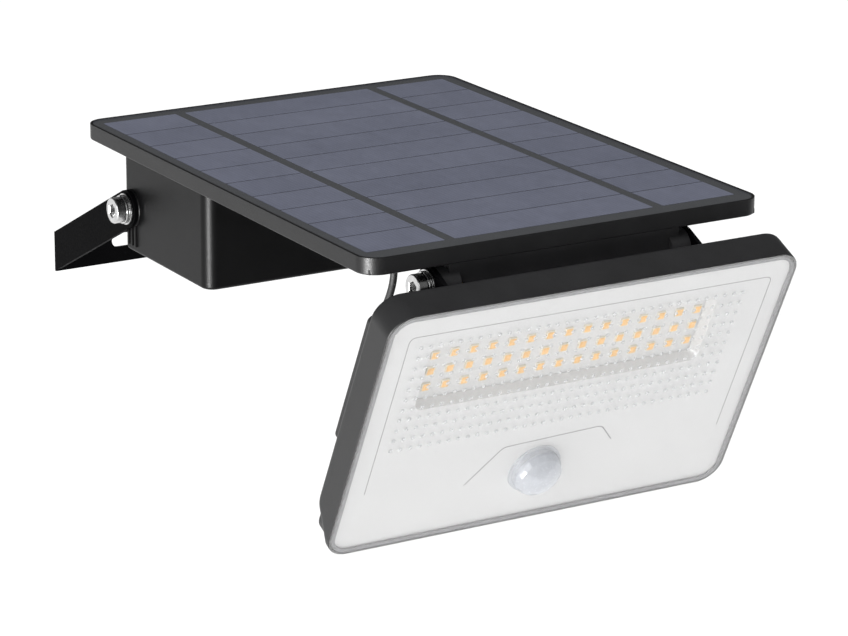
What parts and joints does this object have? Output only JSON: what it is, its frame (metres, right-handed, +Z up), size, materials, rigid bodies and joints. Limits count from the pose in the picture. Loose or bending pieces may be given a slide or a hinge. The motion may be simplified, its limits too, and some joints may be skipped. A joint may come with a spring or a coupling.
{
  "type": "solar flood light",
  "caption": "Wall-mounted solar flood light: a flat panel over a battery box, held by a tilting bracket, with a lamp head that tilts under its front edge and a motion sensor dome.",
  "frame": {"origin": "centre of the wall bracket's back face, on the wall", "axes": "+X along the panel's width, +Y into the wall, +Z up"},
  "size_m": [0.216, 0.3771, 0.1489],
  "materials": {
    "bracket_steel": "black powder coat, satin",
    "panel_plastic": "fine-textured black",
    "solar_cells": "dark blue multicrystalline cells",
    "panel_glazing": "clear laminate sheet",
    "head_plastic": "fine-textured black",
    "white_plastic": "white, satin",
    "clear_plastic": "clear, dotted on the inside",
    "led_board": "white solder resist with amber lamps",
    "dome_plastic": "milky, faceted",
    "seal_rubber": "matt black or grey",
    "switch_plastic": "plain black",
    "circuit_board": "green solder resist",
    "sensor_can": "plain",
    "cell_wrap": "blue shrink sleeve",
    "brass": "turned",
    "stainless": "plain bright"
  },
  "bodies": {
    "wall_bracket": {"wall_bracket": "bracket_steel"},
    "main": {"panel_frame": "panel_plastic", "cell_sheet": "solar_cells", "panel_glazing": "panel_glazing", "battery_box": "panel_plastic", "box_gasket": "seal_rubber", "box_screw_1": "stainless", "box_screw_2": "stainless", "box_screw_3": "stainless", "box_screw_4": "stainless", "wall_pivot_left_flat_washer": "stainless", "wall_pivot_left_spring_washer": "stainless", "wall_pivot_left_screw": "stainless", "wall_pivot_right_flat_washer": "stainless", "wall_pivot_right_spring_washer": "stainless", "wall_pivot_right_screw": "stainless", "wall_pivot_left_insert": "brass", "wall_pivot_right_insert": "brass", "battery_cell_1": "cell_wrap", "battery_cell_2": "cell_wrap", "battery_cell_3": "cell_wrap", "battery_cell_4": "cell_wrap", "battery_holder": "switch_plastic", "charge_board": "circuit_board", "mode_switch": "switch_plastic", "hinge_block": "head_plastic", "block_screw_1": "stainless", "block_screw_2": "stainless", "head_pivot_left_flat_washer": "stainless", "head_pivot_left_spring_washer": "stainless", "head_pivot_left_screw": "stainless", "head_pivot_left_insert": "brass", "head_pivot_pin": "stainless", "panel_gland": "seal_rubber", "lamp_lead": "seal_rubber"},
    "head": {"head_bracket": "bracket_steel", "strap_screw_1": "stainless", "strap_screw_2": "stainless", "strap_screw_3": "stainless", "strap_screw_4": "stainless", "head_housing": "head_plastic", "reflector": "white_plastic", "led_board": "led_board", "led_board_screw_1": "stainless", "led_board_screw_2": "stainless", "lens_seal": "seal_rubber", "lens_cover": "clear_plastic", "sensor_dome": "dome_plastic", "sensor_can": "sensor_can", "sensor_board": "circuit_board", "head_gland": "seal_rubber"},
    "button": {"mode_button": "seal_rubber"}
  },
  "joints": [
    {"name": "panel_tilt", "type": "hinge", "parent": "wall_bracket", "child": "main", "pos_m": [0, -0.0872, 0.0439], "axis": [1, 0, 0], "range_deg": [-45, 60]},
    {"name": "head_tilt", "type": "hinge", "parent": "main", "child": "head", "pos_m": [0, -0.3377, 0.0657], "axis": [1, 0, 0], "range_deg": [-30, 64], "deforming": ["lamp_lead"]},
    {"name": "mode_button_press", "type": "slide", "parent": "main", "child": "button", "axis": [0, 0, 1], "range_m": [0, 0.0008], "stiffness_N_per_m": 1500}
  ]
}
